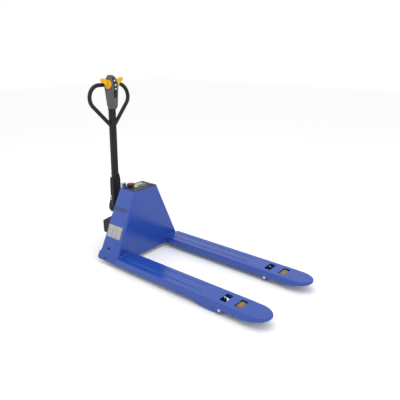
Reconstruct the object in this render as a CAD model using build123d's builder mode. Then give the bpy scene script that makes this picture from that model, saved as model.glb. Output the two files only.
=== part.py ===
from build123d import *
import os
from math import asin, atan2, copysign, cos, degrees, radians, sin, sqrt, tan

os.makedirs("parts", exist_ok=True)

# ---------------------------------------------------------------------------
# Driving dimensions, in millimetres. X runs from the heel line (where the
# forks leave the hood) towards the fork tips, Y to the operator's left, Z up.
# The origin is on the floor at the middle of the overall length.
# ---------------------------------------------------------------------------
fork_reach = 1266          # heel line to the fork tips
guard_reach = 438          # heel line back to the drive guard
heel = (guard_reach - fork_reach) / 2

overall_width = 685
fork_width = 160
fork_top = 85              # fork height with the truck lowered
fork_wall = 5
skirt_bottom = 33          # lower edge of the fork sides and of the hood
tip_length = 118
lift = 105                 # 85 mm lowered, 190 mm raised

hood_top = 545
hood_top_half = 113.5
hood_front = -6
hood_rear = -220
hood_wall = 5
hood_bend = 9

roller_radius = 41
roller_width = 66
link_pivot_x, link_pivot_z = 941, 33
link_length = 108
horn_length = 33.5         # link pivot to push rod pin
horn_lean = 34             # degrees the horn leans back when lowered

rocker_x, rocker_z = -126, 117
rocker_rear_arm = 140
rocker_down_arm = 50
rocker_pin_radius = 6

steer_x = -300             # steering axis
wheel_radius = 100
wheel_width = 70

tiller_pivot_x, tiller_pivot_z = -385, 315
tiller_foot_x = -369       # tube centre line at pivot height
tiller_lean = 2.1          # degrees forward of upright
tube_wide, tube_deep = 50, 35

head_wide = 62
loop_radius = 15

running_gap = 0.05         # radial clearance of a turning fit
side_gap = 1.0             # clearance between parts that pass each other
button_gap = 0.4

fork_centre = (overall_width - fork_width) / 2
hood_slope = (overall_width / 2 - hood_top_half) / (hood_top - skirt_bottom)
rocker_swing = 2 * asin(lift / 2 / rocker_rear_arm)
roller_x = link_pivot_x + sqrt(link_length**2 - (roller_radius - link_pivot_z) ** 2)


def hood_half(z):
    """Half width of the hood's outside at a height."""
    return overall_width / 2 - hood_slope * (z - skirt_bottom)


def side(y=0.0, x=0.0, z=0.0):
    """Upright plane across Y: sketches read as X from the heel line, then Z."""
    return Plane(origin=(heel + x, y, z), x_dir=(1, 0, 0), z_dir=(0, -1, 0))


def level(z=0.0, x=0.0, y=0.0):
    """Level plane at a height: sketches read as X from the heel line, then Y."""
    return Plane(origin=(heel + x, y, z), x_dir=(1, 0, 0), z_dir=(0, 0, 1))


def cross(x=0.0, y=0.0, z=0.0):
    """Upright plane across X: sketches read as Y, then Z."""
    return Plane(origin=(heel + x, y, z), x_dir=(0, 1, 0), z_dir=(1, 0, 0))


LOW = (Align.CENTER, Align.CENTER, Align.MIN)


def bar_y(x, z, radius, y_low, y_high, mode=Mode.ADD):
    """Round bar, or bore, along Y."""
    with Locations(side(y_high, x, z)):
        Cylinder(radius, y_high - y_low, align=LOW, mode=mode)


def bar_z(x, y, radius, z_low, z_high, mode=Mode.ADD):
    """Round bar, or bore, along Z."""
    with Locations(level(z_low, x, y)):
        Cylinder(radius, z_high - z_low, align=LOW, mode=mode)


def bar_x(y, z, radius, x_low, x_high, mode=Mode.ADD):
    """Round bar, or bore, along X."""
    with Locations(cross(x_low, y, z)):
        Cylinder(radius, x_high - x_low, align=LOW, mode=mode)


def block(x_low, x_high, y_low, y_high, z_low, z_high, mode=Mode.ADD):
    """Rectangular block between six faces."""
    with Locations(level(z_low, (x_low + x_high) / 2, (y_low + y_high) / 2)):
        Box(x_high - x_low, y_high - y_low, z_high - z_low, align=LOW, mode=mode)


def save(piece, name):
    """Labels a finished piece and writes its STEP file."""
    piece.part.label = name
    export_step(piece.part, f"parts/{name}.step")


# ---------------------------------------------------------------------------
# Hood: one sheet bent round the front corners, open at the back and bottom.
# ---------------------------------------------------------------------------
wall_y = hood_wall * sqrt(1 + hood_slope**2)
mouth_out = hood_half(fork_top) - wall_y - 1   # the fork's rear opening stops short of the hood's side
rocker_shaft_radius = 12.5
console_thick = 4

with BuildPart() as hood_shell:
    with BuildSketch(cross(hood_rear)):
        Polygon(
            (-hood_half(skirt_bottom), skirt_bottom),
            (hood_half(skirt_bottom), skirt_bottom),
            (hood_top_half, hood_top),
            (-hood_top_half, hood_top),
            align=None,
        )
    extrude(amount=hood_front - hood_rear)
    bends = hood_shell.edges().group_by(Axis.X)[-1].filter_by(Axis.Y, reverse=True)
    fillet(bends, radius=hood_bend)
    with BuildSketch(cross(hood_rear)):
        Polygon(
            (-hood_half(0) + wall_y, 0),
            (hood_half(0) - wall_y, 0),
            (hood_half(hood_top + 20) - wall_y, hood_top + 20),
            (-hood_half(hood_top + 20) + wall_y, hood_top + 20),
            align=None,
        )
    extrude(amount=hood_front - hood_wall - hood_rear, mode=Mode.SUBTRACT)
    with BuildSketch(side()):
        with BuildLine():
            Polyline(
                (hood_front, skirt_bottom),
                (hood_front, hood_top),
                (-168, hood_top),
                (-178, 430),
                (-189, 300),
                (-190, 230),
                (-198, 113),
                (-204, 92),
                (-218, 82),
                (hood_rear, 44),
                (-207, skirt_bottom),
                close=True,
            )
        make_face()
    extrude(amount=overall_width, both=True, mode=Mode.INTERSECT)
    for fork_y in (-fork_centre, fork_centre):
        mouth_in = fork_centre - fork_width / 2 + fork_wall
        mouth_low, mouth_high = sorted((copysign(mouth_in, fork_y), copysign(mouth_out, fork_y)))
        block(-40, 10, mouth_low, mouth_high, 0, fork_top - fork_wall, Mode.SUBTRACT)
    bar_y(rocker_x, rocker_z, rocker_shaft_radius + running_gap, -400, 400, Mode.SUBTRACT)
    bar_y(-139, 51, 7.5, -400, 400, Mode.SUBTRACT)
    bar_y(-40, 162, 4, -400, 400, Mode.SUBTRACT)
    bar_x(0, 92, 6, -40, 10, Mode.SUBTRACT)
save(hood_shell, "hood_shell")

# Forks: pressed channels, open below, with a lobe on each side plate that
# carries the link pivot, two windows and two pressed grooves in the top.
lobe_bottom = 9
tip_joint = fork_reach - tip_length - 38
pivot_shaft_radius = 10
groove_end = 770
groove_offset = 36
groove_depth = 3
roller_window_lead = 3.3    # the window's middle lies this far ahead of the roller's axle


def fork_channel(fork_y, outer):
    """One fork at a Y station; outer is the sign of its outward side."""
    half = fork_width / 2
    with BuildPart() as channel:
        block(hood_front, tip_joint, fork_y - half, fork_y + half, lobe_bottom, fork_top)
        rims = channel.edges().filter_by(Axis.X).group_by(Axis.Z)[-1]
        fillet(rims, radius=fork_wall)
        inner_half = half - fork_wall
        block(
            hood_front - 1,
            tip_joint + 1,
            fork_y - inner_half,
            fork_y + inner_half,
            0,
            fork_top - fork_wall,
            Mode.SUBTRACT,
        )
        # end plate that closes the corner outside the hood's slanted side
        plate_low, plate_high = sorted((outer * mouth_out, outer * overall_width / 2))
        block(hood_front, hood_front + fork_wall, plate_low, plate_high, lobe_bottom, fork_top - fork_wall)
        # lower edge of the outer side plate
        with BuildSketch(side(fork_y + outer * half)):
            with BuildLine():
                Polyline(
                    (tip_joint + 1, skirt_bottom + 2),
                    (tip_joint + 1, 0),
                    (-20, 0),
                    (-20, skirt_bottom),
                    (690, skirt_bottom),
                )
                Spline((690, skirt_bottom), (775, 17), (890, lobe_bottom), tangents=((1, 0), (1, -0.04)))
                Line((890, lobe_bottom), (link_pivot_x - 8, lobe_bottom + 3))
                Spline(
                    (link_pivot_x - 8, lobe_bottom + 3),
                    (link_pivot_x + 22, skirt_bottom + 2),
                    tangents=((1, 0.1), (1, 0.2)),
                )
                Line((link_pivot_x + 22, skirt_bottom + 2), (tip_joint + 1, skirt_bottom + 2))
            make_face()
        extrude(amount=half, both=True, mode=Mode.SUBTRACT)
        # lower edge of the inner side plate
        with BuildSketch(side(fork_y - outer * half)):
            with BuildLine():
                Polyline(
                    (tip_joint + 1, skirt_bottom + 2),
                    (tip_joint + 1, 0),
                    (-20, 0),
                    (-20, skirt_bottom),
                    (880, skirt_bottom),
                )
                Spline(
                    (880, skirt_bottom),
                    (link_pivot_x, lobe_bottom + 6),
                    (link_pivot_x + 24, skirt_bottom + 2),
                    tangents=((1, 0), (1, 0.3)),
                )
                Line((link_pivot_x + 24, skirt_bottom + 2), (tip_joint + 1, skirt_bottom + 2))
            make_face()
        extrude(amount=half - 1, both=True, mode=Mode.SUBTRACT)
        for window_x in (link_pivot_x - 1, roller_x + roller_window_lead):
            with BuildSketch(level(fork_top + 1)):
                with Locations((window_x, fork_y)):
                    RectangleRounded(50, 90, 3)
            extrude(amount=-2 * fork_wall, mode=Mode.SUBTRACT)
        for groove_y in (fork_y - groove_offset, fork_y + groove_offset):
            with BuildSketch(cross(40)):
                Polygon(
                    (groove_y - 11, fork_top),
                    (groove_y - 2, fork_top - groove_depth),
                    (groove_y + 2, fork_top - groove_depth),
                    (groove_y + 11, fork_top),
                    align=None,
                )
            extrude(amount=groove_end - 40, mode=Mode.SUBTRACT)
        side_low, side_high = fork_y - half - 1, fork_y + half + 1
        bar_y(link_pivot_x, link_pivot_z, pivot_shaft_radius, side_low, side_high, Mode.SUBTRACT)
        bar_y(897, 41, 5, fork_y + min(0, outer) * 100, fork_y + max(0, outer) * 100, Mode.SUBTRACT)
    return channel


def fork_nose(fork_y):
    """Rounded fork tip: half ellipse in plan, its underside rising forward."""
    half = fork_width / 2
    with BuildPart() as nose:
        for inset, mode in ((0, Mode.ADD), (fork_wall, Mode.SUBTRACT)):
            with BuildSketch(level(0)):
                with Locations((fork_reach - tip_length, fork_y)):
                    Ellipse(tip_length - inset, half - inset)
                with Locations((tip_joint - 1, fork_y)):
                    Rectangle(2 + 2 * inset, 2 * half, mode=Mode.SUBTRACT)
                with Locations(((tip_joint + fork_reach - tip_length) / 2, fork_y)):
                    Rectangle(fork_reach - tip_length - tip_joint, 2 * (half - inset))
                with Locations((tip_joint - 200, fork_y)):
                    Rectangle(400, 2 * half, mode=Mode.SUBTRACT)
            extrude(amount=fork_top - inset, mode=mode)
            if inset == 0:
                rim = nose.faces().sort_by(Axis.Z)[-1].edges().filter_by(Axis.Y, reverse=True)
                fillet(rim, radius=fork_wall + 2)
        with BuildSketch(side(fork_y)):
            with BuildLine():
                Polyline(
                    (tip_joint - 1, skirt_bottom + 2),
                    (tip_joint - 1, -1),
                    (fork_reach + 1, -1),
                    (fork_reach + 1, 70),
                )
                Spline(
                    (fork_reach + 1, 70),
                    (1220, 58),
                    (1160, 46),
                    (tip_joint - 1, skirt_bottom + 2),
                    tangents=((-1, -0.5), (-1, 0)),
                )
            make_face()
        extrude(amount=fork_width, both=True, mode=Mode.SUBTRACT)
    return nose


for hand, outward in (("left", 1), ("right", -1)):
    save(fork_channel(outward * fork_centre, outward), f"fork_{hand}")
    save(fork_nose(outward * fork_centre), f"fork_tip_{hand}")

with BuildPart() as link_shafts:
    for fork_y in (-fork_centre, fork_centre):
        side_low, side_high = fork_y - fork_width / 2, fork_y + fork_width / 2
        bar_y(link_pivot_x, link_pivot_z, pivot_shaft_radius, side_low, side_high)
    chamfer(link_shafts.edges().filter_by(GeomType.CIRCLE), length=1)
save(link_shafts, "link_shafts")

# ---------------------------------------------------------------------------
# Hood fittings: console, battery, electrics, plates. All lift with the forks.
# ---------------------------------------------------------------------------
console_top = hood_top + console_thick
console_rear = -167
panel_edge = 1.5
stop_x, stop_y = -126, -46
stop_radius = 32
stop_collar = 22.5
stop_travel = 4
stop_stem = 8
key_x, key_y = -50, 84
key_radius = 7
gauge_x, gauge_y = -91, 26
gauge_deep, gauge_wide = 22, 71
screw_spots = [
    (console_rear + 8, 100),
    (hood_front - 8, -104),
    (hood_front - 8, 104),
]

with BuildPart() as console_panel:
    edge_y = hood_top_half - panel_edge
    block(console_rear, hood_front - panel_edge, -edge_y, edge_y, hood_top, console_top)
    fillet(console_panel.edges().filter_by(Axis.Z), radius=4)
    bar_z(stop_x, stop_y, 14, hood_top - 1, console_top + 1, Mode.SUBTRACT)
    bar_z(key_x, key_y, 11, hood_top - 1, console_top + 1, Mode.SUBTRACT)
    block(
        gauge_x - gauge_deep / 2 - 3,
        gauge_x + gauge_deep / 2 + 3,
        gauge_y - gauge_wide / 2 - 3,
        gauge_y + gauge_wide / 2 + 3,
        hood_top - 1,
        console_top + 1,
        Mode.SUBTRACT,
    )
    for spot in screw_spots:
        bar_z(*spot, 2.5, hood_top - 1, console_top + 1, Mode.SUBTRACT)
save(console_panel, "console_panel")

with BuildPart() as console_screws:
    for spot in screw_spots:
        bar_z(*spot, 2.5, hood_top - 8, console_top)
        bar_z(*spot, 4.5, console_top, console_top + 2.5)
        bar_z(*spot, 2, console_top + 1.2, console_top + 3, Mode.SUBTRACT)
save(console_screws, "console_screws")

with BuildPart() as stop_base:
    bar_z(stop_x, stop_y, stop_collar, console_top, console_top + 7)
    bar_z(stop_x, stop_y, 14, hood_top - 34, console_top)
    block(stop_x - 16, stop_x + 16, stop_y - 18, stop_y + 18, hood_top - 34, hood_top - 8)
    bar_z(stop_x, stop_y, stop_stem + button_gap, console_top - 16, console_top + 8, Mode.SUBTRACT)
save(stop_base, "emergency_stop_base")

with BuildPart() as stop_button:
    cap_low = console_top + 7 + stop_travel + 1
    bar_z(stop_x, stop_y, stop_stem, console_top - 10, cap_low)
    with BuildSketch(side(stop_y, stop_x)):
        with BuildLine():
            Polyline((0, cap_low + 14), (0, cap_low), (stop_radius - 3, cap_low))
            TangentArc((stop_radius - 3, cap_low), (stop_radius - 1, cap_low + 6), tangent=(1, 0.2))
            Spline((stop_radius - 1, cap_low + 6), (0, cap_low + 14), tangents=((-0.4, 1), (-1, 0)))
        make_face()
    revolve(axis=Axis((heel + stop_x, stop_y, 0), (0, 0, 1)))
save(stop_button, "emergency_stop_button")

with BuildPart() as gauge_bezel:
    block(-142, gauge_x + gauge_deep / 2 + 4, gauge_y - 72, gauge_y + 41, console_top, console_top + 2.5)
    fillet(gauge_bezel.edges().filter_by(Axis.Z), radius=4)
    block(
        gauge_x - gauge_deep / 2,
        gauge_x + gauge_deep / 2,
        gauge_y - gauge_wide / 2,
        gauge_y + gauge_wide / 2,
        console_top - 1,
        console_top + 4,
        Mode.SUBTRACT,
    )
    bar_z(stop_x, stop_y, stop_collar + 1, console_top - 1, console_top + 4, Mode.SUBTRACT)
save(gauge_bezel, "gauge_bezel")

with BuildPart() as battery_gauge:
    block(
        gauge_x - gauge_deep / 2,
        gauge_x + gauge_deep / 2,
        gauge_y - gauge_wide / 2,
        gauge_y + gauge_wide / 2,
        hood_top - 28,
        console_top + 1.5,
    )
save(battery_gauge, "battery_gauge")

with BuildPart() as key_switch:
    bar_z(key_x, key_y, 11, hood_top - 30, console_top)
    bar_z(key_x, key_y, 15, console_top, console_top + 4)
    bar_z(key_x, key_y, key_radius + button_gap, console_top - 20, console_top + 5, Mode.SUBTRACT)
save(key_switch, "key_switch")

with BuildPart() as key_plug:
    bar_z(key_x, key_y, key_radius, console_top - 19, console_top + 5)
    block(key_x - 5, key_x + 5, key_y - 1, key_y + 1, console_top - 4, console_top + 6, Mode.SUBTRACT)
save(key_plug, "key_plug")

inlet_rear, inlet_front = console_rear + 1, -149
inlet_low_y, inlet_high_y = -111, -71
inlet_top = console_top + 34

with BuildPart() as charge_inlet:
    block(inlet_rear, inlet_front, inlet_low_y, inlet_high_y, console_top, inlet_top)
    upper = charge_inlet.edges().filter_by(Axis.Z) + charge_inlet.edges().group_by(Axis.Z)[-1]
    fillet(upper, radius=3)
save(charge_inlet, "charge_inlet_box")

with BuildPart() as charge_cap:
    with BuildSketch(cross(inlet_front)):
        with Locations(((inlet_low_y + inlet_high_y) / 2, console_top + 16)):
            Ellipse(17, 11)
    extrude(amount=4)
    fillet(charge_cap.faces().sort_by(Axis.X)[-1].edges(), radius=1.5)
save(charge_cap, "charge_inlet_cap")

tray_z = 281
battery_high = 165
battery_rear, battery_front = -100, -17
battery_wide = 128

with BuildPart() as battery_tray:
    block(battery_rear - 4, hood_front - hood_wall, -145, 145, tray_z, tray_z + 4)
    block(battery_rear - 4, battery_rear, -145, 145, tray_z + 4, tray_z + 24)
save(battery_tray, "battery_tray")

with BuildPart() as batteries:
    for outward in (-1, 1):
        low_y, high_y = sorted((outward * 2, outward * (2 + battery_wide)))
        block(battery_rear, battery_front, low_y, high_y, tray_z + 4, tray_z + 4 + battery_high)
    fillet(batteries.edges().filter_by(Axis.Z), radius=4)
    for outward in (-1, 1):
        for post_y in (20, battery_wide - 16):
            bar_z(-58, outward * post_y, 6, tray_z + battery_high, tray_z + battery_high + 14)
save(batteries, "batteries")

with BuildPart() as motor_controller:
    block(-58, hood_front - hood_wall, -80, 80, 150, 262)
    for fin in range(9):
        fin_y = -66 + 16.5 * fin
        block(-59, -46, fin_y - 4.5, fin_y + 4.5, 149, 263, Mode.SUBTRACT)
save(motor_controller, "motor_controller")

with BuildPart() as horn:
    bar_x(128, 198, 32, -36, -26)
    bar_x(128, 198, 20, -26, hood_front - hood_wall)
    fillet(horn.edges().filter_by(GeomType.CIRCLE).group_by(Axis.X)[0], radius=4)
save(horn, "horn")


plate_low, plate_high = 201, 286
plate_thick = 1.2 * sqrt(1 + hood_slope**2)

with BuildPart() as data_plate:
    with BuildSketch(cross(-184)):
        Polygon(
            (-hood_half(plate_low), plate_low),
            (-hood_half(plate_high), plate_high),
            (-hood_half(plate_high) - plate_thick, plate_high),
            (-hood_half(plate_low) - plate_thick, plate_low),
            align=None,
        )
    extrude(amount=148)
save(data_plate, "data_plate")

ram_x = -150
ram_radius = 11
cylinder_radius = 18
cylinder_foot = 260
cylinder_top = 440
head_low, head_high = 470, 482

with BuildPart() as lift_head:
    head_half = hood_half(head_high) - wall_y
    block(-164, -108, -head_half, head_half, head_low, head_high)
    for rib_y in (-60, 60):
        block(-158, -108, rib_y - 4, rib_y + 4, head_high, head_high + 22)
save(lift_head, "lift_head")

with BuildPart() as lift_ram:
    bar_z(ram_x, 0, ram_radius, 300, head_low)
    bar_z(ram_x, 0, cylinder_radius - 4 - running_gap, 300, 312)
save(lift_ram, "lift_ram")

cover_low, cover_high = 300, 540
cover_thick = 3
with BuildPart() as hood_rear_cover:
    with BuildSketch(side()):
        with BuildLine():
            Polyline(
                (-166, cover_high),
                (-176, 430),
                (-186, cover_low),
                (-186 + cover_thick, cover_low),
                (-176 + cover_thick, 430),
                (-166 + cover_thick, cover_high),
                close=True,
            )
        make_face()
    extrude(amount=overall_width / 2, both=True)
    with BuildSketch(cross(-190)):
        Polygon(
            (-hood_half(cover_low) + wall_y, cover_low),
            (hood_half(cover_low) - wall_y, cover_low),
            (hood_half(cover_high) - wall_y, cover_high),
            (-hood_half(cover_high) + wall_y, cover_high),
            align=None,
        )
    extrude(amount=60, mode=Mode.INTERSECT)
save(hood_rear_cover, "hood_rear_cover")

shaft_end = hood_half(rocker_z) - 2
with BuildPart() as rocker_shaft:
    bar_y(rocker_x, rocker_z, rocker_shaft_radius, -shaft_end, shaft_end)
    chamfer(rocker_shaft.edges().filter_by(GeomType.CIRCLE), length=1.5)
save(rocker_shaft, "rocker_shaft")

# ---------------------------------------------------------------------------
# Lift linkage: rocker beam, push rods, load links, load rollers.
# ---------------------------------------------------------------------------
half_swing = rocker_swing / 2
anchor_x = rocker_x - rocker_rear_arm * cos(half_swing)
anchor_z = rocker_z + rocker_rear_arm * sin(half_swing)
rod_rear_x = rocker_x - rocker_down_arm * sin(half_swing)
rod_rear_z = rocker_z - rocker_down_arm * cos(half_swing)
horn_x = link_pivot_x - horn_length * sin(radians(horn_lean))
horn_z = link_pivot_z + horn_length * cos(radians(horn_lean))
beam_radius = 19
arm_thick = 12
anchor_y = 134
slot_gap = 1.4             # the rocker swings evenly while its anchor moves straight
ear_thick = 6
pin_reach = arm_thick / 2 + side_gap + ear_thick + 2

with BuildPart() as rocker_beam:
    beam_half = hood_half(rocker_z + beam_radius) - wall_y - 3
    bar_y(rocker_x, rocker_z, beam_radius, -beam_half, beam_half)
    for rod_y in (-fork_centre, fork_centre):
        with BuildSketch(side(rod_y + arm_thick / 2)):
            with Locations((rocker_x, rocker_z)):
                Circle(beam_radius)
            with Locations((rod_rear_x, rod_rear_z)):
                Circle(rocker_pin_radius + 6)
            make_hull()
        extrude(amount=arm_thick)
        bar_y(rod_rear_x, rod_rear_z, rocker_pin_radius, rod_y - 10, rod_y + 10, Mode.SUBTRACT)
    slot_rise = (rocker_rear_arm - rocker_rear_arm * cos(half_swing)) + 2 * button_gap
    slot_middle = rocker_rear_arm - slot_rise / 2 + button_gap
    for arm_y in (-anchor_y, anchor_y):
        with BuildSketch(side(arm_y + arm_thick / 2)):
            with Locations((rocker_x, rocker_z)):
                Circle(beam_radius)
            with Locations((anchor_x, anchor_z)):
                Circle(rocker_pin_radius + 9)
            make_hull()
        extrude(amount=arm_thick)
        slot_x = rocker_x - slot_middle * cos(half_swing)
        slot_z = rocker_z + slot_middle * sin(half_swing)
        with BuildSketch(side(arm_y + arm_thick)):
            with Locations(Location((slot_x, slot_z), -degrees(half_swing))):
                SlotCenterToCenter(slot_rise, 2 * (rocker_pin_radius + slot_gap))
        extrude(amount=2 * arm_thick, mode=Mode.SUBTRACT)
    bar_y(rocker_x, rocker_z, rocker_shaft_radius + running_gap, -400, 400, Mode.SUBTRACT)
save(rocker_beam, "rocker_beam")


def pin_pair(x, z):
    """Two clevis pins, one on each fork's centre line."""
    with BuildPart() as pins:
        for rod_y in (-fork_centre, fork_centre):
            bar_y(x, z, rocker_pin_radius, rod_y - pin_reach, rod_y + pin_reach)
    return pins


save(pin_pair(rod_rear_x, rod_rear_z), "rocker_rod_pins")
save(pin_pair(horn_x, horn_z), "link_rod_pins")

rear_drop = rocker_down_arm * (1 - cos(half_swing)) + 2 * button_gap
front_rise = horn_length * (1 - cos(radians(horn_lean))) + 2 * button_gap

rod_ends = (
    (rod_rear_x, rod_rear_z, 1, -rear_drop / 2 + button_gap, rear_drop),
    (horn_x, horn_z, -1, front_rise / 2 - button_gap, front_rise),
)
ear_low = arm_thick / 2 + side_gap
ear_half_high = 11.5
ear_length = 30
web_start = 22               # the horn and the rocker's arm swing up to here

with BuildPart() as push_rods:
    for rod_y in (-fork_centre, fork_centre):
        with BuildSketch(side(rod_y + 6)):
            Polygon(
                (rod_rear_x + web_start, rod_rear_z - 6),
                (horn_x - web_start, horn_z - 4),
                (horn_x - web_start, horn_z + 8),
                (rod_rear_x + web_start, rod_rear_z + 6),
                align=None,
            )
        extrude(amount=12)
        for pin_x, pin_z, inward, shift, play in rod_ends:
            middle = pin_z + shift
            tail = pin_x + inward * ear_length
            x_low, x_high = sorted((pin_x - inward * ear_half_high, tail))
            for ear_side in (-1, 1):
                y_low, y_high = sorted((ear_side * ear_low, ear_side * (ear_low + ear_thick)))
                low, high = middle - ear_half_high, middle + ear_half_high
                block(x_low, x_high, rod_y + y_low, rod_y + y_high, low, high)
            web_low, web_high = sorted((pin_x + inward * web_start, tail))
            block(web_low, web_high, rod_y - 8, rod_y + 8, middle - 8, middle + 8)
            with BuildSketch(side(rod_y + 20)):
                with Locations(Location((pin_x, middle), 90)):
                    SlotCenterToCenter(play, 2 * (rocker_pin_radius + 2 * button_gap))
            extrude(amount=40, mode=Mode.SUBTRACT)
save(push_rods, "push_rods")

link_bar_in = roller_width / 2 + 2
link_bar_out = link_bar_in + 8
link_hub_radius = 17
axle_radius = 10
bearing_radius = 23.5
bearing_wide = 14
half_roller = roller_width / 2

with BuildPart() as load_links:
    bore = pivot_shaft_radius + running_gap
    for link_y in (-fork_centre, fork_centre):
        with BuildSketch(side(link_y + link_bar_out)):
            with Locations((link_pivot_x, link_pivot_z)):
                Circle(link_hub_radius)
                Circle(bore, mode=Mode.SUBTRACT)
        extrude(amount=2 * link_bar_out)
        for bar_low in (link_y - link_bar_out, link_y + link_bar_in):
            with BuildSketch(side(bar_low + link_bar_out - link_bar_in)):
                with Locations((link_pivot_x, link_pivot_z)):
                    Circle(link_hub_radius)
                with Locations((roller_x, roller_radius)):
                    Circle(axle_radius + 6)
                make_hull()
                with Locations((link_pivot_x, link_pivot_z)):
                    Circle(bore, mode=Mode.SUBTRACT)
                with Locations((roller_x, roller_radius)):
                    Circle(axle_radius, mode=Mode.SUBTRACT)
            extrude(amount=link_bar_out - link_bar_in)
        with BuildSketch(side(link_y + arm_thick / 2)):
            with Locations((link_pivot_x, link_pivot_z)):
                Circle(link_hub_radius - 2)
            with Locations((horn_x, horn_z)):
                Circle(rocker_pin_radius + 5)
            make_hull()
            with Locations((link_pivot_x, link_pivot_z)):
                Circle(bore, mode=Mode.SUBTRACT)
            with Locations((horn_x, horn_z)):
                Circle(rocker_pin_radius, mode=Mode.SUBTRACT)
        extrude(amount=arm_thick)
save(load_links, "load_links")

for hand, outward in (("left", 1), ("right", -1)):
    link_y = outward * fork_centre
    with BuildPart() as load_roller:
        bar_y(roller_x, roller_radius, roller_radius, link_y - half_roller, link_y + half_roller)
        fillet(load_roller.edges().filter_by(GeomType.CIRCLE), radius=4)
        bore = bearing_radius + running_gap
        bar_y(roller_x, roller_radius, bore, link_y - 60, link_y + 60, Mode.SUBTRACT)
    save(load_roller, f"load_roller_{hand}")

with BuildPart() as roller_bearings:
    for link_y in (-fork_centre, fork_centre):
        for seat_y in (link_y - half_roller + 1, link_y + half_roller - 1 - bearing_wide):
            bar_y(roller_x, roller_radius, bearing_radius, seat_y, seat_y + bearing_wide)
        bar_y(roller_x, roller_radius, axle_radius, link_y - 60, link_y + 60, Mode.SUBTRACT)
save(roller_bearings, "roller_bearings")

with BuildPart() as roller_axles:
    for link_y in (-fork_centre, fork_centre):
        axle_half = link_bar_out + 4
        bar_y(roller_x, roller_radius, axle_radius, link_y - axle_half, link_y + axle_half)
save(roller_axles, "roller_axles")

# ---------------------------------------------------------------------------
# Power unit: the frame that stays at one height, with pump and lift cylinder.
# ---------------------------------------------------------------------------
frame_low, frame_high = 232, 248
boss_radius = 46
bearing_seat = 36
stem_radius = 25
lug_in = 118
lug_out = 126
stud_end = anchor_y + arm_thick / 2 + 4
guard_half = 116
guard_front = -278
guard_wall = 4
guard_corner = 45
bracket_end = guard_half - guard_wall
screw_x, screw_z, screw_radius = -285, 240, 3

with BuildPart() as power_frame:
    bar_z(steer_x, 0, boss_radius + 2, frame_low, frame_high)
    block(steer_x, -185, -60, 60, frame_low, frame_high)
    block(-272, -240, -lug_out, lug_out, frame_low, frame_high)
    block(-186, -128, -112, 112, frame_high, cylinder_foot)
    block(-186, -172, -60, 60, frame_low, cylinder_foot)
    bar_z(steer_x, 0, boss_radius, frame_low - 6, frame_high + 14)
    for lug_low in (-lug_out, lug_in):
        with BuildSketch(side(lug_low + lug_out - lug_in)):
            with Locations((anchor_x, anchor_z)):
                Circle(rocker_pin_radius + 9)
            with Locations((-256, frame_low + 2)):
                Rectangle(32, 4)
            make_hull()
        extrude(amount=lug_out - lug_in)
    for stud_low, stud_high in ((-stud_end, -lug_in - 1), (lug_in + 1, stud_end)):
        bar_y(anchor_x, anchor_z, rocker_pin_radius, stud_low, stud_high)
    for y_low, y_high in ((-bracket_end, -60), (60, bracket_end)):
        block(guard_front - 14, -270, y_low, y_high, frame_low, frame_high)
    for outward in (-1, 1):
        hole_low, hole_high = sorted((outward * (bracket_end - 14), outward * (bracket_end + 1)))
        bar_y(screw_x, screw_z, screw_radius, hole_low, hole_high, Mode.SUBTRACT)
    bar_z(steer_x, 0, bearing_seat, frame_low - 10, frame_high + 20, Mode.SUBTRACT)
save(power_frame, "power_frame")

with BuildPart() as steering_bearing:
    bar_z(steer_x, 0, bearing_seat, frame_low - 6, frame_high + 12)
    bar_z(steer_x, 0, stem_radius + running_gap, frame_low - 10, frame_high + 20, Mode.SUBTRACT)
save(steering_bearing, "steering_bearing")


guard_bottom = 124
guard_heel = steer_x - sqrt(wheel_radius**2 + (wheel_width / 2) ** 2) - 4   # clears the tyre's corners


def guard_form(inset):
    """Outer form of the drive guard, or the hollow inside it, open in front and below."""
    opening = 6 if inset else 0
    with BuildPart() as form:
        with BuildSketch(level(90)):
            with Locations(((guard_front - guard_reach) / 2 + opening / 2, 0)):
                Rectangle(guard_reach + guard_front - 2 * inset + opening, 2 * (guard_half - inset))
        extrude(amount=200)
        corners = form.edges().filter_by(Axis.Z).group_by(Axis.X)[0]
        fillet(corners, radius=guard_corner - inset)
        with BuildSketch(side()):
            with BuildLine():
                Polyline(
                    (-guard_reach + inset, 206 - 0.4 * inset),
                    (-318 + 0.3 * inset, 277 - inset),
                    (guard_front + opening, 277 - inset),
                    (guard_front + opening, guard_bottom - opening),
                    (guard_heel + 1.1 * inset, guard_bottom - opening),
                    (guard_heel - 21 + inset, guard_bottom + 42),
                    close=True,
                )
            make_face()
        extrude(amount=200, both=True, mode=Mode.INTERSECT)
    return form


with BuildPart() as drive_guard:
    add(guard_form(0).part)
    crests = drive_guard.edges().filter_by(Axis.X).group_by(Axis.Z)[-1]
    fillet(crests, radius=5)
    add(guard_form(guard_wall).part, mode=Mode.SUBTRACT)
    bar_z(steer_x, 0, boss_radius + 8, 200, 300, Mode.SUBTRACT)
    bar_y(screw_x, screw_z, screw_radius, -200, 200, Mode.SUBTRACT)
save(drive_guard, "drive_guard")

with BuildPart() as guard_screws:
    for outward in (-1, 1):
        low_y, high_y = sorted((outward * guard_half, outward * (guard_half + 4)))
        bar_y(screw_x, screw_z, 7, low_y, high_y)
    chamfer(guard_screws.edges().filter_by(GeomType.CIRCLE), length=1)
    for outward in (-1, 1):
        low_y, high_y = sorted((outward * (bracket_end - 14), outward * guard_half))
        bar_y(screw_x, screw_z, screw_radius, low_y, high_y)
save(guard_screws, "guard_screws")

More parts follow.
